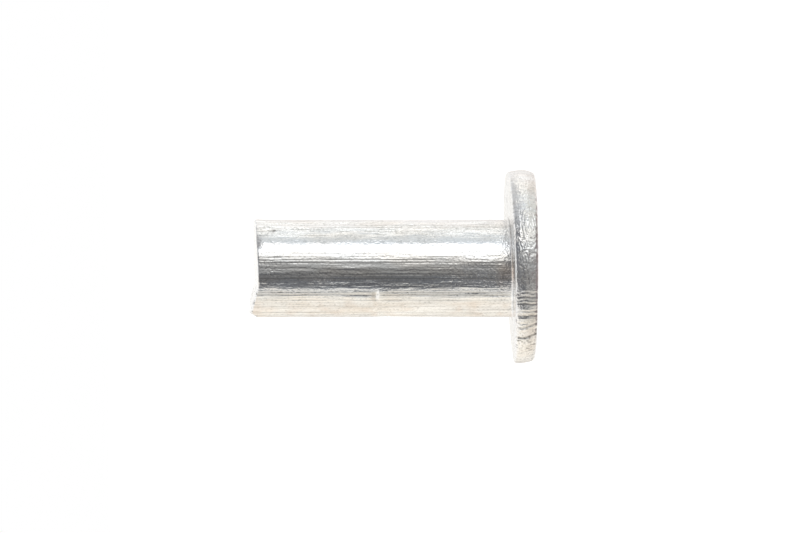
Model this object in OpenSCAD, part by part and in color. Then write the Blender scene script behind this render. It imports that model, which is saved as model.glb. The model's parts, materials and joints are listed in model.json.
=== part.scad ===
// Solid flat-head lining rivet, cold-headed from drawn aluminium wire and
// cropped to length. It stands on its head: the outer face of the head is on
// the floor, the shank rises along +Z, and the origin is where the shank's
// axis meets that face. The thick side of the head is towards +X, the lip
// that cropping left on the cut end is towards -X.

/* [Shank] */
// Diameter of the shank
shank_d = 4; // [3:0.1:5.5]
// Length of the shank under the head, on its axis
shank_length = 10.5; // [5:0.5:20]
// Radius of the fillet between the shank and the seat of the head
fillet_r = 0.15; // [0.05:0.01:0.3]

/* [Head] */
// Diameter of the head over the widest line of its rim
head_d = 8; // [6.5:0.1:12]
// Thickness of the head on the shank's axis
head_thickness = 0.97; // [0.75:0.01:2]
// How far the head's centre lies off the shank's axis
head_offset = 0.075; // [0:0.025:0.3]
// Angle at which the seat leans, thicker towards +X
seat_lean = 2.3; // [0.5:0.1:4]
// How far the rim bulges past its edges
rim_bulge = 0.12; // [0.04:0.01:0.2]
// Radius round the edge of the outer face
face_edge_r = 0.18; // [0.1:0.01:0.3]
// Radius round the edge of the seat
seat_edge_r = 0.07; // [0.04:0.01:0.2]

/* [Cut end] */
// Angle at which the cut face leans, higher towards +X
cut_lean = 1.5; // [0:0.1:6]
// Width of the lip, from the side of the shank to the foot of its ramp
lip_width = 1.3; // [0.8:0.1:2]
// Height of the lip above the cut face, at the side of the shank
lip_height = 0.26; // [0.1:0.01:0.4]
// Slope of the ramp that rises to the lip
ramp_slope = 16; // [10:1:30]
// Slope of the lip's crest
crest_slope = 8; // [1:0.5:10]
// Angle at which ramp and crest rise towards +Y
lip_twist = 1.5; // [0:0.1:3]
// Height of the rolled-over corner at the lip's outer edge
roll_height = 0.3; // [0.04:0.01:0.4]
// Slope of the rolled-over corner
roll_slope = 60; // [20:1:70]

/* [Nick in the cut edge] */
// Direction of the nick round the shank, from +X
nick_angle = -58; // [-90:1:0]
// Height of the nick down the side of the shank
nick_height = 0.15; // [0.05:0.01:0.3]
// Depth of the nick across the cut face
nick_depth = 0.03; // [0.02:0.01:0.12]

/* [Hidden] */

$fn = 96;
// Segments in each rounded edge of the profiles
ARC_STEPS = 8;
// Segments in the rim's bulge
RIM_STEPS = 12;

shank_r = shank_d / 2;
head_r = head_d / 2;
cut_z = head_thickness + shank_length;

// Thickness of the head at its thick and thin sides
thick_side = head_thickness + (head_r + head_offset) * tan(seat_lean);
thin_side = head_thickness - (head_r - head_offset) * tan(seat_lean);

// The rim is one arc through both edges of the thick side and its crown
crown_z = thick_side / 2;
rim_r = (crown_z * crown_z + rim_bulge * rim_bulge) / (2 * rim_bulge);
rim_x = head_r - rim_r;

// Where the round of the outer face runs tangent into the rim's arc
face_edge_x = rim_x + sqrt(pow(rim_r - face_edge_r, 2) - pow(crown_z - face_edge_r, 2));
face_edge_end = atan2(face_edge_r - crown_z, face_edge_x - rim_x);

// The circle in which the leaning seat meets the rim, and its shift towards
// the thin side, where the rim is wider at the seat
rim_drop_thin = rim_r - sqrt(rim_r * rim_r - pow(thin_side - crown_z, 2));
seat_r = head_r - (rim_bulge + rim_drop_thin) / 2;
seat_shift = (rim_bulge - rim_drop_thin) / 2;
// Angle at which the round of the seat's edge leaves its arc for a cone
SEAT_EDGE_END = 40;

// The fillet leans with the seat, so its upper edge is let into the shank by
// what the lean would lift it clear, and a little more
FILLET_MARGIN = 0.005;
fillet_top_r = shank_r - fillet_r * sin(seat_lean) - FILLET_MARGIN;

// Blank metal that the seat and the crop take off
blank_top = thick_side + head_thickness;
offcut = shank_r;
// Size of the blocks that take it off the shank, wider than the shank
cut_block = 3 * shank_d;
// Lower end of the nick, measured down from the leaning cut face
nick_z = cut_z + shank_r * cos(nick_angle) * tan(cut_lean) - nick_height;

// Points on an arc from angle a up to, but without, angle b
function arc(cx, cy, r, a, b, steps) =
    [for (i = [0:steps - 1]) let (t = a + (b - a) * i / steps) [cx + r * cos(t), cy + r * sin(t)]];

// The outer face, its rounded edge and the bulging rim, higher than the seat
module head_blank() {
    translate([head_offset, 0, 0])
        rotate_extrude()
            polygon(concat(
                [[0, 0]],
                arc(face_edge_x, face_edge_r, face_edge_r, -90, face_edge_end, ARC_STEPS),
                arc(rim_x, crown_z, rim_r, face_edge_end, asin(crown_z / rim_r), RIM_STEPS),
                [for (z = [thick_side, blank_top]) [head_r - rim_bulge, z]],
                [[0, blank_top]]));
}

// Everything under the seat, with the seat's edge rounded
module under_seat() {
    flat_r = seat_r - seat_edge_r;
    edge = arc(flat_r, -seat_edge_r, seat_edge_r, SEAT_EDGE_END, 90, ARC_STEPS);
    foot = edge[0] + 2 * thick_side * [tan(SEAT_EDGE_END), -1];
    translate([head_offset - seat_shift, 0, 0])
        rotate_extrude()
            polygon(concat([[0, foot.y], foot], edge, [[flat_r, 0], [0, 0]]));
}

// The concave ring where the seat runs into the shank, rooted in both
module fillet() {
    root_r = shank_r / 2;
    foot_r = fillet_top_r + fillet_r;
    rotate_extrude()
        polygon(concat(
            [[root_r, fillet_r], [root_r, -fillet_r], [foot_r, -fillet_r]],
            arc(foot_r, fillet_r, fillet_r, -90, -180, ARC_STEPS),
            [[fillet_top_r, fillet_r]]));
}

// The flat head with its leaning seat
module head() {
    intersection() {
        head_blank();
        on_seat() under_seat();
    }
    on_seat() fillet();
}

// Puts what is modelled on a level seat onto the leaning one
module on_seat() {
    translate([0, 0, head_thickness])
        rotate([0, -seat_lean, 0])
            children();
}

// Everything above a plane through the origin that leans by these angles
module above(lean) {
    rotate(lean)
        translate([-cut_block / 2, -cut_block / 2, 0])
            cube(cut_block);
}

// What the crop took away: above the cut face, and above the lip's ramp,
// crest or rolled corner, whichever is lowest
module crop() {
    intersection() {
        translate([0, 0, cut_z]) above([0, -cut_lean, 0]);
        union() {
            translate([lip_width - shank_r, 0, cut_z]) above([lip_twist, ramp_slope, 0]);
            translate([-shank_r, 0, cut_z + lip_height]) above([lip_twist, crest_slope, 0]);
            translate([-shank_r, 0, cut_z + lip_height - roll_height]) above([0, -roll_slope, 0]);
        }
    }
}

// The flat that is knocked off the cut edge
module nick() {
    rotate([0, 0, nick_angle])
        translate([shank_r, 0, nick_z])
            above([0, atan2(nick_height, nick_depth), 0]);
}

// Straight wire, rooted in the head and cropped at its end
module shank() {
    root_z = thin_side / 2;
    difference() {
        translate([0, 0, root_z]) cylinder(d = shank_d, h = cut_z + lip_height + offcut - root_z);
        crop();
        nick();
    }
}

module rivet() {
    color([0.83, 0.84, 0.85]) {
        head();
        shank();
    }
}

rivet();
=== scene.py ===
"""Dresses a solid flat-head lining rivet: bare drawn aluminium, headed and cropped.

The rivet stands on its head on a pale floor, and the camera lies on its side,
so that the shank runs across the picture with the head at the right.
"""

import json
import math
from typing import NamedTuple

import bpy
import numpy as np
from bpy.props import FloatProperty, FloatVectorProperty, IntProperty, PointerProperty
from mathutils import Matrix, Vector


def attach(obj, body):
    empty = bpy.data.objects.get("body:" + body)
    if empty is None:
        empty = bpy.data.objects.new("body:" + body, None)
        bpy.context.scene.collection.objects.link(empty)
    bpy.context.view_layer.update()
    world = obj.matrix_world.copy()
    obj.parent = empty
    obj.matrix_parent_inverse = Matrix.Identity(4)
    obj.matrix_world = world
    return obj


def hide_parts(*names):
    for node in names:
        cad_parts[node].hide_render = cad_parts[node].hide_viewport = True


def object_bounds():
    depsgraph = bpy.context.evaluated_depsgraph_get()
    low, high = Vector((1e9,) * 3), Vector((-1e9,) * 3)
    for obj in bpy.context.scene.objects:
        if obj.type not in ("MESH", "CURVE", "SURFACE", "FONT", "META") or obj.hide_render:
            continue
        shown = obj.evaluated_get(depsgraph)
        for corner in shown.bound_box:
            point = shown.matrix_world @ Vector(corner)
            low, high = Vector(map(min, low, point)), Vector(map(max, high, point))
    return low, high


bl_info = {
    "name": "Lining Rivet",
    "version": (1, 0, 0),
    "blender": (4, 5, 0),
    "location": "View3D > Sidebar > Rivet",
    "description": "Builds a headed and cropped aluminium rivet, its finish and its studio",
    "category": "Add Mesh",
}

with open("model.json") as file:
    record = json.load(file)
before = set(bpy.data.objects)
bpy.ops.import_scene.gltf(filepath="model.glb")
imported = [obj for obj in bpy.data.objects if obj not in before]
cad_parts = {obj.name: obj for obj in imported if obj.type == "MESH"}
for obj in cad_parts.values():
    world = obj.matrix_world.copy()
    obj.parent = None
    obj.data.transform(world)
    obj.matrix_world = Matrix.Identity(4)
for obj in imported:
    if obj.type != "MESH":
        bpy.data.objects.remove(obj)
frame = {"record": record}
CAD_LOW, CAD_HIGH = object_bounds()

BODY = "root"
NODE = "rivet"
MM = 0.001
UM = 1e-6

MOUNTS = {mount["name"]: mount for mount in frame["record"]["mounts"]}
SEAT_POINT = MOUNTS["seat"]["pos_m"]
SEAT_NORMAL = MOUNTS["seat"]["axis"]
SEAT_RISE_X = -SEAT_NORMAL[0] / SEAT_NORMAL[2]


class RivetSizes(bpy.types.PropertyGroup):
    """Sizes of the rivet's forms."""

    shank_radius: FloatProperty(
        name="Shank radius",
        description="Radius of the straight shank",
        default=MOUNTS["shank"]["dims"]["r_mm"] * MM,
        unit="LENGTH",
    )
    cut_height: FloatProperty(
        name="Cut height",
        description="Height of the cut face on the shank's axis, above the head's outer face",
        default=11.47 * MM,
        unit="LENGTH",
    )
    head_radius: FloatProperty(
        name="Head radius",
        description="Radius of the head at the widest line of its rim",
        default=(CAD_HIGH.x - CAD_LOW.x) / 2,
        unit="LENGTH",
    )
    head_offset: FloatProperty(
        name="Head offset",
        description="How far the head's centre lies off the shank's axis, along X",
        default=(CAD_HIGH.x + CAD_LOW.x) / 2,
        unit="LENGTH",
    )
    head_thickness: FloatProperty(
        name="Head thickness",
        description="Thickness of the head on the shank's axis",
        default=SEAT_POINT[2] - SEAT_POINT[0] * SEAT_RISE_X,
        unit="LENGTH",
    )
    seat_twist: FloatProperty(
        name="Seat twist",
        description="How much more the seat leans at the +Y side of the head, and less at -Y",
        default=math.radians(0.75),
        unit="ROTATION",
    )
    rim_bulge: FloatProperty(
        name="Rim bulge",
        description="How far the rim bulges past its edges on the thick side",
        default=0.12 * MM,
        unit="LENGTH",
    )
    face_edge: FloatProperty(
        name="Face edge",
        description="Radius round the edge of the outer face",
        default=0.18 * MM,
        unit="LENGTH",
    )
    seat_edge: FloatProperty(
        name="Seat edge",
        description="Width of the round on the seat's edge",
        default=0.085 * MM,
        unit="LENGTH",
    )
    fillet: FloatProperty(
        name="Fillet",
        description="Width of the fillet between the seat and the shank",
        default=0.11 * MM,
        unit="LENGTH",
    )
    cut_edge: FloatProperty(
        name="Cut edge",
        description="Width of the round on the edge of the cut face",
        default=0.06 * MM,
        unit="LENGTH",
    )
    cut_lean: FloatProperty(
        name="Cut lean",
        description="Angle at which the cut face leans, higher towards +X",
        default=math.radians(1.5),
        unit="ROTATION",
    )
    lip_width: FloatProperty(
        name="Lip width",
        description="Width of the lip, from the side of the shank to the foot of its ramp",
        default=1.3 * MM,
        unit="LENGTH",
    )
    lip_height: FloatProperty(
        name="Lip height",
        description="Height of the lip above the cut face, at the side of the shank",
        default=0.26 * MM,
        unit="LENGTH",
    )
    ramp_slope: FloatProperty(
        name="Ramp slope",
        description="Slope of the ramp that rises to the lip",
        default=math.radians(16),
        unit="ROTATION",
    )
    crest_slope: FloatProperty(
        name="Crest slope",
        description="Slope of the lip's crest",
        default=math.radians(8),
        unit="ROTATION",
    )
    lip_twist: FloatProperty(
        name="Lip twist",
        description="Angle at which ramp and crest rise towards +Y",
        default=math.radians(1.5),
        unit="ROTATION",
    )
    roll_height: FloatProperty(
        name="Roll height",
        description="Height of the rolled-over corner at the lip's outer edge",
        default=0.3 * MM,
        unit="LENGTH",
    )
    roll_slope: FloatProperty(
        name="Roll slope",
        description="Slope of the rolled-over corner",
        default=math.radians(60),
        unit="ROTATION",
    )
    nick_angle: FloatProperty(
        name="Nick angle",
        description="Direction of the nick in the cut edge, round the shank from +X",
        default=math.radians(-58),
        unit="ROTATION",
    )
    nick_height: FloatProperty(
        name="Nick height",
        description="Height of the nick down the side of the shank",
        default=0.15 * MM,
        unit="LENGTH",
    )
    nick_depth: FloatProperty(
        name="Nick depth",
        description="Depth of the nick across the cut face",
        default=0.03 * MM,
        unit="LENGTH",
    )
    around: IntProperty(
        name="Steps around",
        description="Number of steps round the rivet",
        default=660,
        min=48,
    )
    seed: IntProperty(
        name="Seed",
        description="Seed of the chance marks on the surface",
        default=4,
    )


class RivetFinish(bpy.types.PropertyGroup):
    """Colour and gloss of the bare aluminium."""

    metal: FloatVectorProperty(
        name="Metal",
        description="Colour of clean bare aluminium",
        subtype="COLOR",
        size=3,
        default=(0.905, 0.91, 0.915),
        min=0,
        max=1,
    )
    warm_metal: FloatVectorProperty(
        name="Warm metal",
        description="Colour of the clouds of thin oxide on the clean metal",
        subtype="COLOR",
        size=3,
        default=(0.89, 0.865, 0.835),
        min=0,
        max=1,
    )
    sheared_metal: FloatVectorProperty(
        name="Sheared metal",
        description="Colour of the fresh metal on the cut face",
        subtype="COLOR",
        size=3,
        default=(0.95, 0.95, 0.945),
        min=0,
        max=1,
    )
    # this colour also paints a warm reflection down the shank's side towards -X
    stain_and_warm_reflection: FloatVectorProperty(
        name="Stain",
        description="Colour of the heading lubricant left at the foot of the shank",
        subtype="COLOR",
        size=3,
        default=(0.72, 0.58, 0.48),
        min=0,
        max=1,
    )
    # this colour also paints the shade in the corner at the fillet's foot
    oxide_and_shade_colour: FloatVectorProperty(
        name="Dull metal",
        description="Colour at the bottom of scores and pits, where oxide and oil stay",
        subtype="COLOR",
        size=3,
        default=(0.26, 0.25, 0.24),
        min=0,
        max=1,
    )
    drawn_roughness: FloatProperty(
        name="Drawn roughness",
        description="Roughness of the drawn shank",
        default=0.1,
        min=0,
        max=1,
    )
    headed_roughness: FloatProperty(
        name="Headed roughness",
        description="Roughness of the upset head",
        default=0.14,
        min=0,
        max=1,
    )


class RivetStudio(bpy.types.PropertyGroup):
    """Floor, surroundings and camera."""

    floor_colour: FloatVectorProperty(
        name="Floor",
        description="Colour of the pale floor",
        subtype="COLOR",
        size=3,
        default=(0.93, 0.93, 0.93),
        min=0,
        max=1,
    )
    floor_glow: FloatProperty(
        name="Floor glow",
        description="Light that the translucent floor passes from below",
        default=0.6,
        min=0,
    )
    floor_radius: FloatProperty(
        name="Floor radius",
        description="Radius of the round floor",
        default=0.6,
        unit="LENGTH",
    )
    camera_elevation: FloatProperty(
        name="Camera elevation",
        description="Angle of the camera above the floor",
        default=math.radians(2.6),
        unit="ROTATION",
    )
    lens: FloatProperty(
        name="Lens",
        description="Focal length of the camera, in millimetres",
        default=800,
    )
    picture_width: FloatProperty(
        name="Picture width",
        description="Width of what the camera takes in at the rivet",
        default=32.99 * MM,
        unit="LENGTH",
    )
    aim: FloatVectorProperty(
        name="Aim",
        description="Point at the middle of the picture",
        subtype="TRANSLATION",
        size=3,
        default=(0.074 * MM, 0, 5.52 * MM),
        unit="LENGTH",
    )


# ---------------------------------------------------------------- shape

# Rows of points in each zone, from the middle of the head's outer face to the
# middle of the cut face
FACE_ROWS, FACE_EDGE_ROWS, RIM_ROWS, SEAT_EDGE_ROWS = 10, 7, 18, 6
SEAT_ROWS, FILLET_ROWS, SHANK_ROWS, CUT_EDGE_ROWS, CUT_ROWS = 13, 7, 50, 5, 18

# Widths over which the lip's planes run into each other and into the cut face
CREST_BLEND, ROLL_BLEND, FOOT_BLEND = 0.06 * MM, 0.04 * MM, 0.04 * MM


class Spot(NamedTuple):
    """A mark with a place of its own on the skin."""

    height: float
    facing: float  # direction from the camera's side, towards +X, in degrees
    half_up: float
    half_around: float


BRIGHT_DENT = Spot(6.52 * MM, -34, 0.1 * MM, 0.24 * MM)
DARK_SPECK = Spot(10.77 * MM, 50, 0.08 * MM, 0.065 * MM)
RING_RIPPLES = Spot(0.28 * MM, 27.3, 0.29 * MM, 0.67 * MM)

# Extra rows that the shank gets at a mark: how many on each side, and their spacing
CLOSE_ROWS = ((BRIGHT_DENT, 3, 0.03 * MM), (DARK_SPECK, 2, 0.045 * MM))


def smooth_min(a, b, width):
    """The lower of two heights, blended where they differ by less than width."""
    near = np.clip(0.5 + 0.5 * (b - a) / width, 0, 1)
    return b + (a - b) * near - width * near * (1 - near)


def smooth_max(a, b, width):
    """The higher of two heights, blended where they differ by less than width."""
    return -smooth_min(-a, -b, width)


def ease(x, low, high):
    """0 below low, 1 above high and smooth between."""
    t = np.clip((x - low) / (high - low), 0, 1)
    return t * t * (3 - 2 * t)


def fade(x, low, high):
    """1 below low, 0 above high and smooth between."""
    return ease(-x, -high, -low)


def chance_field(rng, cells_around, cells_along, u, v):
    """Smooth chance heights from -1 to 1. u and v run from 0 to 1, and u is periodic."""
    grid = rng.uniform(-1, 1, (cells_along + 2, cells_around))
    x, y = u * cells_around, np.clip(v, 0, 1) * cells_along
    i, j = np.floor(x).astype(int), np.floor(y).astype(int)
    s, t = ease(x - i, 0, 1), ease(y - j, 0, 1)
    i, i_next = i % cells_around, (i + 1) % cells_around
    low = grid[j, i] * (1 - s) + grid[j, i_next] * s
    high = grid[j + 1, i] * (1 - s) + grid[j + 1, i_next] * s
    return low * (1 - t) + high * t


class RivetSurface:
    """The rivet's smooth skin, as rings of points.

    They run from the middle of the head's outer face to the middle of the cut
    face, and each ring belongs to a named zone.
    """

    def __init__(self, sizes):
        self.sizes = sizes
        self.turn = np.linspace(0, 2 * np.pi, sizes.around, endpoint=False)
        self.cos, self.sin = np.cos(self.turn), np.sin(self.turn)
        self.rings, self.zones = [], []

    def seat_height(self, x, y):
        """Height of the leaning, slightly warped seat."""
        twist = math.tan(self.sizes.seat_twist) * y / self.sizes.head_radius
        return self.sizes.head_thickness + (SEAT_RISE_X + twist) * x

    def cut_height(self, x, y):
        """Height of the cut face, with the lip's ramp, crest and rolled corner."""
        s = self.sizes
        across = math.tan(s.lip_twist) * y
        outward = -s.shank_radius - x
        plane = s.cut_height + math.tan(s.cut_lean) * x
        ramp = s.cut_height + math.tan(s.ramp_slope) * (outward + s.lip_width) + across
        crest = s.cut_height + s.lip_height + math.tan(s.crest_slope) * outward + across
        roll = s.cut_height + s.lip_height - s.roll_height - math.tan(s.roll_slope) * outward
        lip = smooth_min(smooth_min(ramp, crest, CREST_BLEND), roll, ROLL_BLEND)
        return smooth_max(plane, lip, FOOT_BLEND)

    def ring(self, radius, centre_x, height):
        """A ring about a centre on the X axis. height is a number, or a function of x and y."""
        x, y = centre_x + radius * self.cos, radius * self.sin
        z = height(x, y) if callable(height) else np.broadcast_to(height, x.shape)
        return np.stack([x, y, z], axis=1)

    def add(self, zone, ring):
        self.rings.append(ring)
        self.zones.append(zone)

    def round_off(self, zone, start, corner, end, rows):
        """Rings on the curve that leaves start towards corner and arrives at end."""
        for t in np.arange(1, rows + 1) / rows:
            self.add(zone, (1 - t) ** 2 * start + 2 * t * (1 - t) * corner + t**2 * end)

    def head(self):
        s = self.sizes
        thick = s.head_thickness + SEAT_RISE_X * (s.head_radius + s.head_offset)
        crown = thick / 2
        arc_r = (crown**2 + s.rim_bulge**2) / (2 * s.rim_bulge)
        arc_x = s.head_radius - arc_r
        edge_x = arc_x + math.sqrt((arc_r - s.face_edge) ** 2 - (crown - s.face_edge) ** 2)
        edge_end = math.atan2(s.face_edge - crown, edge_x - arc_x)

        # the face's rings lie closer towards its edge
        for t in np.arange(1, FACE_ROWS + 1) / FACE_ROWS:
            self.add("face", self.ring(edge_x * t**0.7, s.head_offset, 0.0))
        for t in np.arange(1, FACE_EDGE_ROWS + 1) / FACE_EDGE_ROWS:
            a = -math.pi / 2 + t * (edge_end + math.pi / 2)
            radius = edge_x + s.face_edge * math.cos(a)
            self.add("rim", self.ring(radius, s.head_offset, s.face_edge * (1 + math.sin(a))))

        def on_rim(height):
            radius = arc_x + np.sqrt(arc_r**2 - (height - crown) ** 2)
            return self.ring(radius, s.head_offset, height)

        # a few rounds settle where the leaning seat meets the bulging rim
        low = s.face_edge * (1 + math.sin(edge_end))
        top = on_rim(np.full(s.around, crown))
        for _ in range(4):
            top = on_rim(self.seat_height(top[:, 0], top[:, 1]))
        for t in np.arange(1, RIM_ROWS + 1) / RIM_ROWS:
            self.add("rim", on_rim(low + (top[:, 2] - s.seat_edge - low) * t))

        inward = np.stack([-self.cos, -self.sin, -SEAT_RISE_X * self.cos], axis=1)
        self.round_off("seat_edge", self.rings[-1], top, top + s.seat_edge * inward, SEAT_EDGE_ROWS)

    def seat(self):
        s = self.sizes
        outer = self.rings[-1]
        foot = self.ring(s.shank_radius + s.fillet, 0, self.seat_height)
        for t in np.arange(1, SEAT_ROWS + 1) / SEAT_ROWS:
            self.add("seat", outer + (foot - outer) * t)
        corner = self.ring(s.shank_radius, 0, self.seat_height)
        self.round_off("fillet", foot, corner, corner + [0, 0, s.fillet], FILLET_ROWS)

    def shank(self):
        s = self.sizes
        root = self.rings[-1]
        edge = self.ring(s.shank_radius, 0, self.cut_height)
        tip = edge - [0, 0, s.cut_edge]
        low, high = root[:, 2].mean(), tip[:, 2].mean()
        levels = list(np.arange(1, SHANK_ROWS + 1) / SHANK_ROWS)
        for spot, count, spacing in CLOSE_ROWS:
            close = spot.height + spacing * np.arange(-count, count + 1)
            levels += list((close - low) / (high - low))
        for t in sorted(levels):
            self.add("shank", root + (tip - root) * t)
        inner = self.ring(s.shank_radius - s.cut_edge, 0, self.cut_height)
        self.round_off("cut_edge", tip, edge, inner, CUT_EDGE_ROWS)

    def cut(self):
        s = self.sizes
        outer = s.shank_radius - s.cut_edge
        for t in np.arange(1, CUT_ROWS) / CUT_ROWS:
            self.add("cut", self.ring(outer * (1 - t), 0, self.cut_height))

    def points(self):
        """All rings as one array of rows, steps and x, y, z."""
        self.head()
        self.seat()
        self.shank()
        self.cut()
        return np.array(self.rings)


def outward_normals(points):
    """Unit normals of a grid of rings, from its neighbours along and around."""
    along = np.gradient(points, axis=0)
    around = np.roll(points, -1, axis=1) - np.roll(points, 1, axis=1)
    normal = np.cross(around, along)
    return normal / np.maximum(np.linalg.norm(normal, axis=2, keepdims=True), 1e-12)


# ---------------------------------------------------------------- marks

# Scores left by the drawing die: direction round the shank from the camera's
# side towards +X in degrees, depth and width in micrometres
DIE_SCORES = [
    (78, 2.5, 70),
    (63, 2.5, 80),
    (57, 3.0, 60),
    (49, 2.5, 70),
    (43, 2.5, 60),
    (9.8, 5.0, 60),
    (6.5, 4.0, 60),
    (-7, 4.0, 60),
    (-12, 5.0, 55),
    (-19, 2.0, 60),
    (-29.6, 5.0, 60),
    (-33.3, 8.0, 70),
    (-41, 3.0, 70),
    (-52, 2.5, 60),
    (-66, 3.0, 70),
    (95, 4.0, 60),
    (128, 5.0, 80),
    (160, 4.0, 60),
    (-105, 5.0, 70),
    (-140, 4.0, 60),
    (-170, 5.0, 80),
]

# Creases across the rim, in the same terms
RIM_CREASES = [
    (57, 2.0, 110),
    (49, 2.0, 90),
    (-14.9, 17.0, 75),
    (-17.1, 15.0, 75),
    (-19.5, 16.0, 80),
    (-21.6, 24.0, 100),
    (-26.8, 20.0, 90),
    (-30.3, 28.0, 120),
    (-34.0, 9.0, 90),
    (-37.6, 32.0, 110),
    (-41.5, 10.0, 100),
    (-46.0, 62.0, 130),
    (-62, 3.0, 140),
    (88, 4.0, 140),
    (120, 6.0, 120),
    (141, 4.0, 100),
    (-96, 5.0, 120),
    (-118, 7.0, 110),
    (-131, 5.0, 140),
    (-165, 6.0, 120),
    (172, 5.0, 100),
]

# Stretches of the rim with many folds: their two ends, as directions in degrees,
# and how softly they begin and end
FOLDED = [(-50, -12), (70, 84), (108, 128), (-124, -94), (-178, -160)]
FOLDED_SOFTNESS = 4

# Patches scuffed by handling: height on the shank and half length in
# millimetres, direction and half width in degrees
SCUFFS = [
    (1.9, 0.8, -4, 26),
    (3.2, 0.7, -6, 15),
    (8.9, 0.6, -13, 9),
    (11.0, 0.5, 0, 14),
    (4.4, 0.3, 48, 10),
    (8.0, 0.5, -60, 12),
    (6.0, 0.6, 120, 20),
    (3.0, 0.8, -150, 22),
    (9.4, 0.7, 175, 18),
]

# Depth of the bright dent, and where it wiped out the die's scores: half a height,
# a direction, and how far to each side fully and at all, in degrees
DENT_DEPTH = 42 * UM
WIPED_HALF_UP, WIPED_FACING, WIPED_FULLY, WIPED_AT_ALL = 0.16 * MM, -34.5, 8, 12

# How far the dark speck shifts round the shank for each step up
SPECK_LEAN = 0.3

# Reach of the chance fields up the rim and out over the seat, and the length
# round the rim
RIM_REACH, PITS_REACH, SEAT_REACH, RIM_LENGTH = 1.1 * MM, 1.2 * MM, 2.1 * MM, 25 * MM


class RivetMarks:
    """What drawing, heading, cropping and handling left on the skin.

    Some methods give heights to press into the skin, and others give what the
    finish reads, mostly shares from 0 to 1. They share one source of chance, so
    the order in which they are called is part of the result.
    """

    def __init__(self, points, zones, sizes):
        self.rng = np.random.default_rng(sizes.seed)
        self.sizes = sizes
        self.points = points
        self.zones = np.array(zones)
        self.x, self.y, self.z = np.moveaxis(points, 2, 0)
        self.turn = np.arctan2(self.y, self.x) / (2 * np.pi) % 1
        self.up = np.clip(self.z / sizes.cut_height, 0, 1)
        # angle from the camera's side, towards +X
        self.facing = np.degrees(np.arctan2(self.x, -self.y))
        # heights of the two sets of grooves, which hold oxide
        self.scores = self.folds = np.zeros_like(self.z)

    def zone(self, *names):
        """1 on the rings of these zones and 0 on the others."""
        return np.isin(self.zones, names)[:, None].astype(float)

    def spread(self, mask, rows):
        """A zone's mask, faded out over a few rows at its ends."""
        width = np.ones(2 * rows + 1) / (2 * rows + 1)
        return np.convolve(np.pad(mask[:, 0], rows, mode="edge"), width, mode="valid")[:, None]

    def arc_from(self, angle, radius):
        """Distance round the rivet from a direction, on a circle of that radius."""
        off = (self.facing - angle + 180) % 360 - 180
        return np.radians(off) * radius

    def sector(self, angle, half_width, power=4):
        """1 in one direction and 0 away from it: a higher power gives it sharper sides."""
        return np.exp(-((self.arc_from(angle, 1) / math.radians(half_width)) ** power))

    def away(self, spot, radius):
        """Distances up and around from a mark's middle, in its half sizes."""
        up = (self.z - spot.height) / spot.half_up
        return up, self.arc_from(spot.facing, radius) / spot.half_around

    def layers(self, u, v, *fields):
        """A sum of chance fields, each given as its micrometres, and its cells around and along."""
        return sum(height * UM * chance_field(self.rng, *cells, u, v) for height, *cells in fields)

    def grooves(self, scores, radius, sway):
        """Long narrow grooves, whose depth varies and whose path sways."""
        strength = 0.8 + 0.4 * chance_field(self.rng, 23, 7, self.turn, self.up)
        height = np.zeros_like(self.z)
        for angle, depth, width in scores:
            arc = self.arc_from(angle, radius) + sway
            height -= depth * UM * strength * np.exp(-((arc / (width / 2 * UM)) ** 2))
        return height

    def streaked(self):
        """How deep the drawing lines are: shallow where the wire ran on the die's polished side."""
        patchy = 0.85 + 0.3 * chance_field(self.rng, 9, 5, self.turn, self.up)
        return (1 - 0.85 * self.sector(31, 12)) * patchy

    def unscored(self):
        """Where the bright dent wiped out the die's scores."""
        up = (self.z - BRIGHT_DENT.height) / WIPED_HALF_UP
        off = np.abs(self.facing - WIPED_FACING)
        return np.exp(-(up**4)) * fade(off, WIPED_FULLY, WIPED_AT_ALL)

    def drawn(self, streaked):
        """Long waves, drawing lines and die scores along the shank."""
        radius = self.sizes.shank_radius
        sway = self.layers(self.turn, self.up, (22, 6, 5), (9, 14, 22))
        u = self.turn + sway / (2 * np.pi * radius)
        lines = self.layers(u, self.up, (6.0, 30, 6), (5.0, 64, 13), (4.6, 108, 22), (2.6, 160, 44))
        lines *= 1 + 1.3 * ease(np.abs(self.facing), 36, 54)
        self.scores = self.grooves(DIE_SCORES, radius, sway) * (1 - self.unscored())
        waves = self.layers(self.turn, self.up, (7, 11, 2))
        swell = 26 * UM * fade(self.z, 1.0 * MM, 3.2 * MM)
        flare = 20 * UM * ease(self.z, 10.4 * MM, 11.3 * MM) * ease(self.x, 0, 1.5 * MM)
        return streaked * (lines + self.scores) + waves + swell + flare

    def creased(self):
        """Where the upset metal folded, across the rim."""
        soft, folded = FOLDED_SOFTNESS, np.zeros_like(self.z)
        for start, end in FOLDED:
            begun = ease(self.facing, start - soft, start + soft)
            folded += begun * fade(self.facing, end - soft, end + soft)
        return np.clip(folded, 0, 1) * self.spread(self.zone("rim"), 1)

    def headed(self):
        """Creases and flats across the upset rim."""
        across = np.clip(self.z / RIM_REACH, 0, 1)
        sway = self.layers(self.turn, across, (60, 60, 3))
        swayed = self.turn + sway / RIM_LENGTH
        height = self.layers(self.turn, across, (12, 9, 1), (5, 38, 3))
        height += self.layers(swayed, across, (5, 120, 6))
        height += (self.creased() + 0.2) * self.layers(swayed, across, (12, 105, 2))
        # the creases bow one way on the low side, and the other way elsewhere
        bow = 60 * UM * fade(self.z, 0.1 * MM, 0.5 * MM)
        bow -= 45 * UM * fade(np.abs(self.z - 0.6 * MM), 0, 0.3 * MM)
        bow *= 2 * fade(self.facing, -34, -20) - 1
        self.folds = self.grooves(RIM_CREASES, self.sizes.head_radius, sway - bow)
        return height + self.folds

    def seated(self):
        """Shallow unevenness of the seat."""
        out = np.clip(np.hypot(self.x, self.y) / self.sizes.head_radius, 0, 1)
        return self.layers(self.turn, out, (5, 16, 6), (3, 60, 16))

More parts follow.
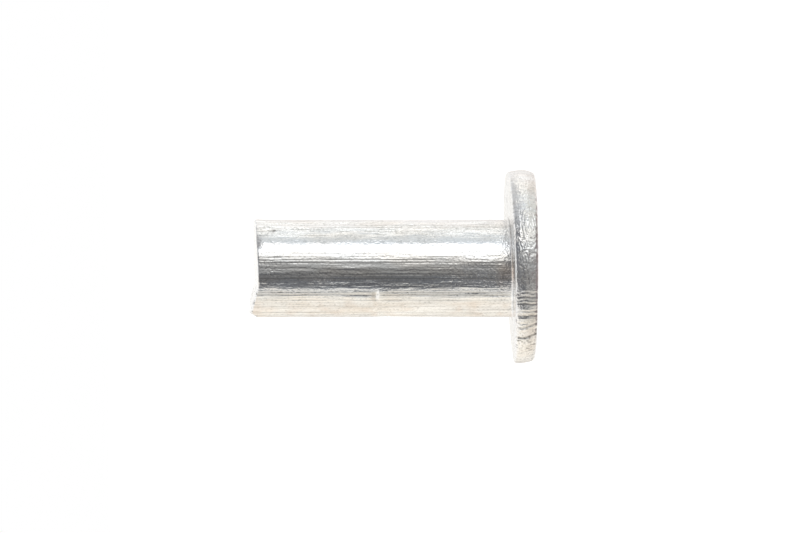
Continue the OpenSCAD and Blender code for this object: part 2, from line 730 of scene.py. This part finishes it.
    def on_cut(self):
        """Places across and along the tear lines of the cut, short of where a field repeats."""
        r = self.sizes.shank_radius
        return (self.y / r + 1) / 2 * 0.98, (self.x / r + 1) / 2

    def sheared(self):
        """Tear lines of the crop, along X, and the pits of the lip."""
        height = self.layers(*self.on_cut(), (5, 7, 3), (4, 26, 5))
        torn = fade(self.x, -0.9 * MM, -0.3 * MM)
        return height + torn * self.layers(*self.on_cut(), (9, 30, 24))

    def dent(self):
        """A short dent across the drawing lines, whose long side faces up."""
        up, around = self.away(BRIGHT_DENT, self.sizes.shank_radius)
        ramp = ease(up, -1, 1) * fade(up, 1, 1.5)
        return -DENT_DEPTH * ramp * np.exp(-(around**2))

    def speck(self):
        """A dark speck near the cut end."""
        up, around = self.away(DARK_SPECK, self.sizes.shank_radius)
        around += SPECK_LEAN * (self.z - DARK_SPECK.height) / DARK_SPECK.half_around
        return np.exp(-(up**4)) * np.exp(-(around**2)) * self.zone("shank")

    def dulled(self):
        """Share of dull metal: oxide in scores, folds, pits and tears, the dark speck, and painted
        shade in the corner at the fillet's foot.
        """
        oxide = np.clip(-self.scores / (10 * UM), 0, 0.4) * self.zone("shank")
        oxide += np.clip(-self.folds / (44 * UM) - 0.1, 0, 0.75) * self.zone("rim")
        pits = chance_field(self.rng, 290, 12, self.turn, np.clip(self.z / PITS_REACH, 0, 1))
        low_side = fade(self.facing, -44, -36) * self.zone("rim")
        oxide += 0.6 * ease(pits, 0.35, 0.75) * (low_side + self.spread(self.zone("seat_edge"), 2))
        torn = ease(chance_field(self.rng, 34, 34, *self.on_cut()), 0.3, 0.7)
        oxide += 0.7 * torn * fade(self.x, -1.0 * MM, -0.6 * MM) * self.zone("cut", "cut_edge")
        # painted shade: a dark line on the fillet's outer edge, on the +X half, stands in for the
        # shade in the corner where the fillet meets the seat
        out = np.hypot(self.x, self.y) - self.sizes.shank_radius
        foot = ease(out, 0.01 * MM, 0.06 * MM) * self.zone("fillet")
        oxide += 0.7 * ease(self.facing, -6, 8) * foot
        return np.maximum(oxide, self.speck())

    def worn(self):
        """Share of dull metal in the short tears of the seat."""
        out = np.hypot(self.x, self.y) - self.sizes.shank_radius
        tears = chance_field(self.rng, 30, 24, self.turn, np.clip(out / SEAT_REACH, 0, 1))
        return 0.35 * ease(tears, 0.35, 0.85) * self.zone("seat")

    def stained(self):
        """Share of brown: a lubricant blot at the shank's foot, and a painted warm reflection in
        blotches down the side towards -X.
        """
        foot = fade(self.z, 1.2 * MM, 1.75 * MM)
        blot = 0.6 + 0.6 * chance_field(self.rng, 40, 30, self.turn, self.up)
        blot *= self.sector(-8, 15, 2) + 0.7 * self.sector(150, 40, 2)
        # painted reflection: brown blotches down the side towards -X stand in for the warm wall
        # mirrored there
        film = np.clip(chance_field(self.rng, 34, 40, self.turn, self.up), 0, 1)
        film *= 0.45 * self.sector(-80, 45)
        return np.clip(foot * blot + film, 0, 1) * self.zone("fillet", "shank")

    def lined(self, streaked):
        """Strength of the finest drawing lines: less towards the window, more on the low side."""
        return streaked * (1 - 0.25 * ease(self.facing, 36, 54) + 0.15 * fade(self.facing, -54, -36))

    def scuffed(self):
        """How rough handling left the shank, in patches."""
        rough = 0.8 * fade(self.z, 1.3 * MM, 1.9 * MM)
        for height, half_length, angle, half_width in SCUFFS:
            along = (self.z / MM - height) / half_length
            rough += np.exp(-(along**2)) * self.sector(angle, half_width, 2)
        return np.clip(rough, 0, 1)

    def crinkled(self):
        """How far the skin of the upset rim crinkled: most on the side towards the light."""
        side = self.sector(27, 24) + 0.6 * self.sector(-120, 66)
        return 0.25 + 0.75 * np.clip(side, 0, 1) * fade(self.z, 0.6 * MM, 0.85 * MM)

    def rippled(self):
        """Number of ripples out from the middle of the crinkled side, where they run in rings."""
        uneven = chance_field(self.rng, 70, 4, self.turn, np.clip(self.z / RIM_REACH, 0, 1))
        return 2.7 * np.hypot(*self.away(RING_RIPPLES, self.sizes.head_radius)) + 0.35 * uneven

    def displaced(self, streaked):
        """The points with every mark pressed into them."""
        soft, sharp = 3, 2
        height = self.drawn(streaked) * self.spread(self.zone("shank", "cut_edge"), soft)
        height += self.dent() * self.zone("shank")
        height += self.headed() * self.spread(self.zone("rim"), soft)
        height += self.seated() * self.spread(self.zone("seat"), soft)
        height += self.sheared() * self.spread(self.zone("cut"), sharp)
        return self.points + outward_normals(self.points) * height[:, :, None]

    def for_finish(self, streaked):
        """What the finish reads at each point, by name."""
        read = {
            "headed": self.spread(self.zone("face", "rim", "seat_edge", "seat"), 2),
            "sheared": self.spread(self.zone("cut"), 1),
            "dulled": self.dulled(),
            "stained": self.stained(),
            "streaked": self.lined(streaked),
            "creased": self.creased(),
            "scuffed": self.scuffed(),
            "crinkled": self.crinkled(),
            "rippled": self.rippled(),
        }
        read["dulled"] = np.maximum(read["dulled"], self.worn())
        return {name: np.broadcast_to(values, self.z.shape) for name, values in read.items()}


def knock_off_edge(points, sizes):
    """Presses what stands proud of the nick's plane back onto it."""
    a = sizes.nick_angle
    out = np.array([math.cos(a), math.sin(a), 0])
    edge_height = sizes.cut_height + sizes.shank_radius * out[0] * math.tan(sizes.cut_lean)
    foot = out * sizes.shank_radius + [0, 0, edge_height - sizes.nick_height]
    normal = out * sizes.nick_height + [0, 0, sizes.nick_depth]
    normal /= np.linalg.norm(normal)
    proud = np.maximum((points - foot) @ normal, 0)
    proud[points[:, :, 2] < edge_height - 2 * sizes.nick_height] = 0
    return points - proud[:, :, None] * normal


def grid_mesh(name, points, low_tip, high_tip):
    """A closed mesh of quads between rings, with a fan of triangles at each end."""
    rows, steps = points.shape[:2]
    here = np.arange(steps)
    after = (here + 1) % steps
    base = (np.arange(rows - 1) * steps)[:, None]
    quads = np.stack([base + here, base + after, base + steps + after, base + steps + here], axis=2)
    last = (rows - 1) * steps
    tip = rows * steps
    low_fan = [(tip, b, a) for a, b in zip(here, after)]
    high_fan = [(last + a, last + b, tip + 1) for a, b in zip(here, after)]
    verts = np.concatenate([points.reshape(-1, 3), [low_tip, high_tip]])
    faces = quads.reshape(-1, 4).tolist() + low_fan + high_fan
    mesh = bpy.data.meshes.new(name)
    mesh.from_pydata(verts.tolist(), [], faces)
    mesh.validate()
    mesh.shade_smooth()
    return mesh


def store(mesh, name, values):
    """Keeps a number for each point, and 0 for the two tips, for the material to read."""
    padded = np.concatenate([values.ravel(), [0, 0]]).astype(np.float32)
    mesh.attributes.new(name, "FLOAT", "POINT").data.foreach_set("value", padded)


# ---------------------------------------------------------------- shader maths


class Wire:
    """A shader socket, or a plain number, that can be used in Python arithmetic."""

    def __init__(self, tree, value):
        self.tree, self.value = tree, value

    def math(self, operation, *others):
        return self.tree.node("ShaderNodeMath", {"operation": operation}, [self, *others])

    def __add__(self, other):
        return self.math("ADD", other)

    def __radd__(self, other):
        return self.math("ADD", other)

    def __sub__(self, other):
        return self.math("SUBTRACT", other)

    def __rsub__(self, other):
        return self.tree.wire(other).math("SUBTRACT", self)

    def __mul__(self, other):
        return self.math("MULTIPLY", other)

    def __rmul__(self, other):
        return self.math("MULTIPLY", other)

    def __truediv__(self, other):
        return self.math("DIVIDE", other)

    def scaled(self, factors):
        """This vector with each of its parts multiplied."""
        return self.tree.node("ShaderNodeVectorMath", {"operation": "MULTIPLY"}, [self, factors])

    def mixed(self, other, share):
        """This colour, with the other one in its place by share."""
        sockets = {"Factor": share, "A": self, "B": other}
        return self.tree.node("ShaderNodeMix", {"data_type": "RGBA"}, sockets, "Result")

    def eased(self, low, high):
        """0 below low, 1 above high and smooth between."""
        sockets = {"Value": self, "From Min": low, "From Max": high}
        return self.tree.node("ShaderNodeMapRange", {"interpolation_type": "SMOOTHSTEP"}, sockets)

    def faded(self, low, high):
        """1 below low, 0 above high and smooth between."""
        return (self * -1).eased(-high, -low)


class Tree:
    """A node tree that is written as expressions on wires."""

    def __init__(self, owner):
        owner.use_nodes = True
        self.nodes, self.links = owner.node_tree.nodes, owner.node_tree.links
        self.nodes.clear()

    def wire(self, value):
        return value if isinstance(value, Wire) else Wire(self, value)

    def node(self, kind, settings=None, sockets=None, output=0):
        """Adds a node, sets it, feeds its sockets by name or in order, and returns one output."""
        node = self.nodes.new(kind)
        for key, value in (settings or {}).items():
            if key == "stops":
                self.set_stops(node.color_ramp, value)
            else:
                setattr(node, key, value)
        sockets = sockets or {}
        pairs = sockets.items() if isinstance(sockets, dict) else enumerate(sockets)
        for key, value in pairs:
            self.feed(self.find(node, key), value)
        return Wire(self, node.outputs[output]) if len(node.outputs) else node

    @staticmethod
    def find(node, key):
        """The socket of that number, or the enabled one of that name."""
        if isinstance(key, int):
            return node.inputs[key]
        return next(s for s in node.inputs if s.name == key and s.enabled)

    def feed(self, socket, value):
        if isinstance(value, Wire) and isinstance(value.value, bpy.types.NodeSocket):
            self.links.new(value.value, socket)
            return
        number = value.value if isinstance(value, Wire) else value
        if socket.type == "RGBA" and len(number) == 3:
            number = (*number, 1)
        socket.default_value = number

    @staticmethod
    def set_stops(ramp, stops):
        """A ramp's stops, each a place and a colour."""
        while len(ramp.elements) < len(stops):
            ramp.elements.new(0.5)
        for element, (place, colour) in zip(ramp.elements, stops):
            element.position = place
            element.color = (*colour, 1)


def bare_aluminium(finish):
    """Bare aluminium: drawn bright along the shank, duller on the upset head, torn at the cut."""
    material = bpy.data.materials.new("bare_aluminium")
    tree = Tree(material)
    # place on the rivet, in millimetres
    place = tree.node("ShaderNodeTexCoord", output="Object").scaled((1 / MM, 1 / MM, 1 / MM))

    def noise(stretch, scale, detail=2.0, distortion=0.0):
        sockets = {
            "Vector": place.scaled(stretch),
            "Scale": scale,
            "Detail": detail,
            "Distortion": distortion,
        }
        return tree.node("ShaderNodeTexNoise", {}, sockets) - 0.5

    def mask(name):
        return tree.node("ShaderNodeAttribute", {"attribute_name": name}, output="Fac")

    head, cut, dull, stain_and_warm_reflection = mask("headed"), mask("sheared"), mask("dulled"), mask("stained")
    streaked, creased, scuffed = mask("streaked"), mask("creased"), mask("scuffed")
    crinkled, rings = mask("crinkled"), mask("rippled")
    shank = (1 - head) * (1 - cut)

    # textures, some of them stretched along the rivet's axis or round it
    lines = noise((1, 1, 0.02), 5.5, 2)
    wires = noise((1, 1, 0.06), 9, 2)
    ripples = noise((0.45, 0.45, 1), 8, 1, 1)
    bands = noise((1, 1, 0.03), 2.4, 2)
    curls = noise((0.7, 0.7, 1), 3.2, 0, 2.4)
    rungs = noise((1, 1, 0.3), 6.5, 0, 0.6)
    grain = noise((1, 1, 0.8), 11, 2)
    cloud = noise((1, 1, 0.35), 1.6, 2)

    # grooves and pits hold oxide, and look darker
    shade = lines.faded(-0.16, 0) * 0.16 + wires.faded(-0.2, -0.02) * 0.2
    shade = (shade + bands.faded(-0.14, 0.02) * 0.12) * streaked * (1 - head)
    shade = shade + grain.faded(-0.22, -0.02) * 0.26 + curls.faded(-0.16, -0.02) * 0.14 * head
    dull = (dull + shade * (1 - 0.7 * cut)).math("MINIMUM", 1)
    colour = tree.wire(tuple(finish.metal)).mixed(tuple(finish.warm_metal), cloud.eased(-0.15, 0.2))
    colour = colour.mixed(tuple(finish.sheared_metal), cut * 0.9)
    # dull metal paints oxide, and also painted shade in the corner at the fillet's foot
    colour = colour.mixed(tuple(finish.oxide_and_shade_colour), dull)
    # the stain colour also paints a warm reflection down the side towards -X
    colour = colour.mixed(tuple(finish.stain_and_warm_reflection), stain_and_warm_reflection * 0.8)

    rough = finish.drawn_roughness * (1 - head) + finish.headed_roughness * head
    rough = rough + grain * 0.08 + cut * 0.12

    # heights in micrometres: drawing lines, ripples, the crinkled rim with its oval
    # of rings, and grain
    height = (lines * 18 + wires * 17) * (streaked * shank + creased * 1.2)
    height = height + ripples * ((head + cut) * (9 - 4 * creased) + 8 * scuffed)
    oval = rings.faded(3.2, 4.4)
    swirls = (rings * 2 * math.pi + curls * 5).math("SINE") * oval * 5
    swirls = swirls + curls * 34 * (1 - 0.75 * oval) + rungs * 15 * (1 - 0.7 * oval)
    height = height + swirls * head * crinkled * (1 - 0.6 * creased)
    height = height + grain * (9 + 9 * scuffed + 3 * cut)
    bump = tree.node("ShaderNodeBump", {}, {"Strength": 1.0, "Distance": UM, "Height": height})

    shader = tree.node(
        "ShaderNodeBsdfPrincipled",
        {},
        {"Base Color": colour, "Metallic": 1.0, "Roughness": rough, "Normal": bump},
    )
    tree.node("ShaderNodeOutputMaterial", {}, {"Surface": shader})
    return material


def pale_floor(studio):
    """A plain pale floor that glows a little, as a light table does."""
    material = bpy.data.materials.new("pale_floor")
    tree = Tree(material)
    colour = tuple(studio.floor_colour)
    shader = tree.node(
        "ShaderNodeBsdfPrincipled",
        {},
        {
            "Base Color": colour,
            "Roughness": 0.9,
            "Emission Color": colour,
            "Emission Strength": studio.floor_glow,
        },
    )
    tree.node("ShaderNodeOutputMaterial", {}, {"Surface": shader})
    return material


# Brightness of the studio round the rivet, level with it, above it and below it.
# Each stop is a direction from the camera's side, towards +X, in degrees, and a
# colour: a bright window at +30 to +60, the dark room behind the camera, and
# bright and dimmer strips of wall further round. The ceiling and the bench close it.
LEVEL_LIGHT = [
    (-180, (0.97, 0.955, 0.92)),
    (-155, (0.86, 0.81, 0.74)),
    (-136, (1.18, 1.13, 1.03)),
    (-121, (0.95, 0.89, 0.79)),
    (-108, (1.23, 1.17, 1.07)),
    (-95, (0.92, 0.86, 0.76)),
    (-84, (1.18, 1.12, 1.01)),
    (-66, (0.72, 0.70, 0.65)),
    (-59, (0.90, 0.88, 0.83)),
    (-54.5, (0.98, 0.97, 0.94)),
    (-50, (0.34, 0.35, 0.36)),
    (-42, (0.19, 0.20, 0.215)),
    (-34, (0.11, 0.115, 0.13)),
    (-27, (0.215, 0.22, 0.225)),
    (-19, (0.105, 0.105, 0.11)),
    (-10, (0.23, 0.23, 0.225)),
    (0, (0.35, 0.35, 0.345)),
    (19, (0.58, 0.58, 0.57)),
    (26, (1.10, 1.10, 1.08)),
    (34, (1.5, 1.51, 1.50)),
    (59, (1.5, 1.52, 1.55)),
    (64, (0.66, 0.71, 0.75)),
    (83, (0.84, 0.86, 0.85)),
    (90, (1.5, 1.51, 1.49)),
    (96, (0.74, 0.75, 0.73)),
    (105, (0.72, 0.73, 0.71)),
    (112, (1.9, 1.9, 1.87)),
    (119, (0.76, 0.75, 0.72)),
    (134, (1.26, 1.24, 1.21)),
    (152, (0.98, 0.95, 0.93)),
    (180, (0.97, 0.955, 0.92)),
]
HIGH_LIGHT = [
    (-180, (1.15, 1.14, 1.12)),
    (-130, (1.08, 1.05, 1.01)),
    (-85, (1.15, 1.13, 1.08)),
    (-50, (1.05, 1.04, 1.02)),
    (-30, (0.26, 0.26, 0.27)),
    (0, (0.18, 0.185, 0.20)),
    (30, (0.20, 0.21, 0.23)),
    (58, (0.34, 0.35, 0.37)),
    (75, (0.58, 0.59, 0.61)),
    (120, (0.66, 0.67, 0.68)),
    (150, (1.08, 1.08, 1.08)),
    (180, (1.15, 1.14, 1.12)),
]
LOW_LIGHT = [
    (-180, (1.05, 1.03, 0.98)),
    (-140, (0.93, 0.88, 0.80)),
    (-95, (0.92, 0.84, 0.74)),
    (-85, (0.77, 0.70, 0.63)),
    (-79, (0.84, 0.79, 0.70)),
    (-73, (0.67, 0.64, 0.57)),
    (-67, (0.82, 0.78, 0.70)),
    (-56, (0.52, 0.49, 0.46)),
    (-47, (0.72, 0.70, 0.66)),
    (-41, (0.40, 0.40, 0.37)),
    (-32, (0.50, 0.49, 0.47)),
    (-27, (0.27, 0.265, 0.26)),
    (-18, (0.28, 0.27, 0.265)),
    (0, (0.32, 0.32, 0.315)),
    (10, (0.40, 0.40, 0.395)),
    (19, (0.55, 0.55, 0.54)),
    (28, (0.86, 0.87, 0.85)),
    (40, (1.02, 1.04, 1.02)),
    (56, (0.96, 0.98, 0.96)),
    (66, (0.74, 0.75, 0.72)),
    (90, (0.74, 0.75, 0.72)),
    (120, (0.86, 0.82, 0.78)),
    (150, (0.95, 0.90, 0.86)),
    (180, (1.05, 1.03, 0.98)),
]
CEILING_LIGHT = (0.95, 0.95, 0.95)
BENCH_LIGHT = (0.28, 0.24, 0.245)


def studio_light():
    """Plain white behind the rivet, and the studio's bright and dark sides in its reflections."""
    world = bpy.data.worlds.new("studio")
    tree = Tree(world)
    direction = tree.node("ShaderNodeTexCoord", output="Generated")
    split = tree.node("ShaderNodeSeparateXYZ", {}, [direction]).value.node
    x, y, z = (Wire(tree, socket) for socket in split.outputs)
    # direction round the rivet, from 0 to 1 with the camera's side at 0.5, and degrees up
    turn = x.math("ARCTAN2", y * -1) / (2 * math.pi) + 0.5
    lift = z.math("ARCSINE") * math.degrees(1)

    def ramp(light):
        stops = [(angle / 360 + 0.5, colour) for angle, colour in light]
        return tree.node("ShaderNodeValToRGB", {"stops": stops}, {"Fac": turn}, "Color")

    around = ramp(LEVEL_LIGHT).mixed(ramp(HIGH_LIGHT), lift.eased(3, 13))
    around = around.mixed(ramp(LOW_LIGHT), lift.faded(-15, -7))
    around = around.mixed(CEILING_LIGHT, lift.eased(38, 52))
    around = around.mixed(BENCH_LIGHT, lift.faded(-64, -40))
    reflected = tree.node("ShaderNodeBackground", {}, {"Color": around, "Strength": 1.0})
    plain = tree.node("ShaderNodeBackground", {}, {"Color": (1, 1, 1), "Strength": 1.0})
    seen = tree.node("ShaderNodeLightPath", output="Is Camera Ray")
    shader = tree.node("ShaderNodeMixShader", {}, [seen, reflected, plain])
    tree.node("ShaderNodeOutputWorld", {}, {"Surface": shader})
    return world


# ---------------------------------------------------------------- operators


def link(name, data):
    piece = bpy.data.objects.new(name, data)
    bpy.context.scene.collection.objects.link(piece)
    return piece


class RIVET_OT_make_rivet(bpy.types.Operator):
    """Builds the rivet's skin with its marks and gives it its finish"""

    bl_idname = "rivet.make_rivet"
    bl_label = "Make rivet"

    def execute(self, context):
        sizes, finish = context.scene.rivet_sizes, context.scene.rivet_finish
        surface = RivetSurface(sizes)
        points = surface.points()
        marks = RivetMarks(points, surface.zones, sizes)
        streaked = marks.streaked()
        shaped = knock_off_edge(marks.displaced(streaked), sizes)
        face_middle = (sizes.head_offset, 0, 0)
        cut_middle = (0, 0, surface.cut_height(0.0, 0.0))
        mesh = grid_mesh("rivet_skin", shaped, face_middle, cut_middle)
        for name, values in marks.for_finish(streaked).items():
            store(mesh, name, values)
        mesh.materials.append(bare_aluminium(finish))
        piece = link("rivet_skin", mesh)
        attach(piece, BODY)
        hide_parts(NODE)
        return {"FINISHED"}


class RIVET_OT_set_stage(bpy.types.Operator):
    """Lays the floor, lights the studio and places the camera"""

    bl_idname = "rivet.set_stage"
    bl_label = "Set stage"

    def execute(self, context):
        studio = context.scene.rivet_studio
        self.lay_floor(studio)
        context.scene.world = studio_light()
        context.scene.view_settings.view_transform = "Standard"
        context.scene.camera = self.place_camera(studio)
        return {"FINISHED"}

    @staticmethod
    def lay_floor(studio):
        steps, radius = 96, studio.floor_radius
        turn = [2 * math.pi * i / steps for i in range(steps)]
        edge = [(radius * math.cos(a), radius * math.sin(a), 0) for a in turn]
        mesh = bpy.data.meshes.new("floor")
        mesh.from_pydata(edge, [], [list(range(steps))])
        mesh.materials.append(pale_floor(studio))
        floor = link("floor", mesh)
        # the metal mirrors the studio, not the floor's far edge
        floor.visible_glossy = False

    @staticmethod
    def place_camera(studio):
        data = bpy.data.cameras.new("camera")
        data.lens = studio.lens
        data.sensor_width = 36
        distance = studio.picture_width * studio.lens / data.sensor_width
        # the camera lies on its side: +X is up in its picture, and the head is at the right
        e = studio.camera_elevation
        back = Vector((0, -math.cos(e), math.sin(e)))
        right = Vector((0, -math.sin(e), -math.cos(e)))
        up = Vector((1, 0, 0))
        turn = Matrix((right, up, back)).transposed().to_4x4()
        data.clip_start, data.clip_end = distance * 0.1, distance * 3
        camera = link("camera", data)
        camera.matrix_world = Matrix.Translation(Vector(studio.aim) + back * distance) @ turn
        return camera


class RIVET_PT_panel(bpy.types.Panel):
    """Lists the rivet's sizes, finish and stage"""

    bl_label = "Lining rivet"
    bl_idname = "RIVET_PT_panel"
    bl_space_type = "VIEW_3D"
    bl_region_type = "UI"
    bl_category = "Rivet"

    def draw(self, context):
        scene = context.scene
        for title, group, operator in (
            ("Sizes", scene.rivet_sizes, None),
            ("Finish", scene.rivet_finish, RIVET_OT_make_rivet.bl_idname),
            ("Studio", scene.rivet_studio, RIVET_OT_set_stage.bl_idname),
        ):
            box = self.layout.box()
            box.label(text=title)
            for name in group.__annotations__:
                box.prop(group, name)
            if operator:
                box.operator(operator)


CLASSES = (
    RivetSizes,
    RivetFinish,
    RivetStudio,
    RIVET_OT_make_rivet,
    RIVET_OT_set_stage,
    RIVET_PT_panel,
)


def register():
    for cls in CLASSES:
        bpy.utils.register_class(cls)
    bpy.types.Scene.rivet_sizes = PointerProperty(type=RivetSizes)
    bpy.types.Scene.rivet_finish = PointerProperty(type=RivetFinish)
    bpy.types.Scene.rivet_studio = PointerProperty(type=RivetStudio)


def unregister():
    del bpy.types.Scene.rivet_studio
    del bpy.types.Scene.rivet_finish
    del bpy.types.Scene.rivet_sizes
    for cls in reversed(CLASSES):
        bpy.utils.unregister_class(cls)


def main():
    register()
    bpy.ops.rivet.make_rivet()
    bpy.ops.rivet.set_stage()


if __name__ == "__main__":
    main()
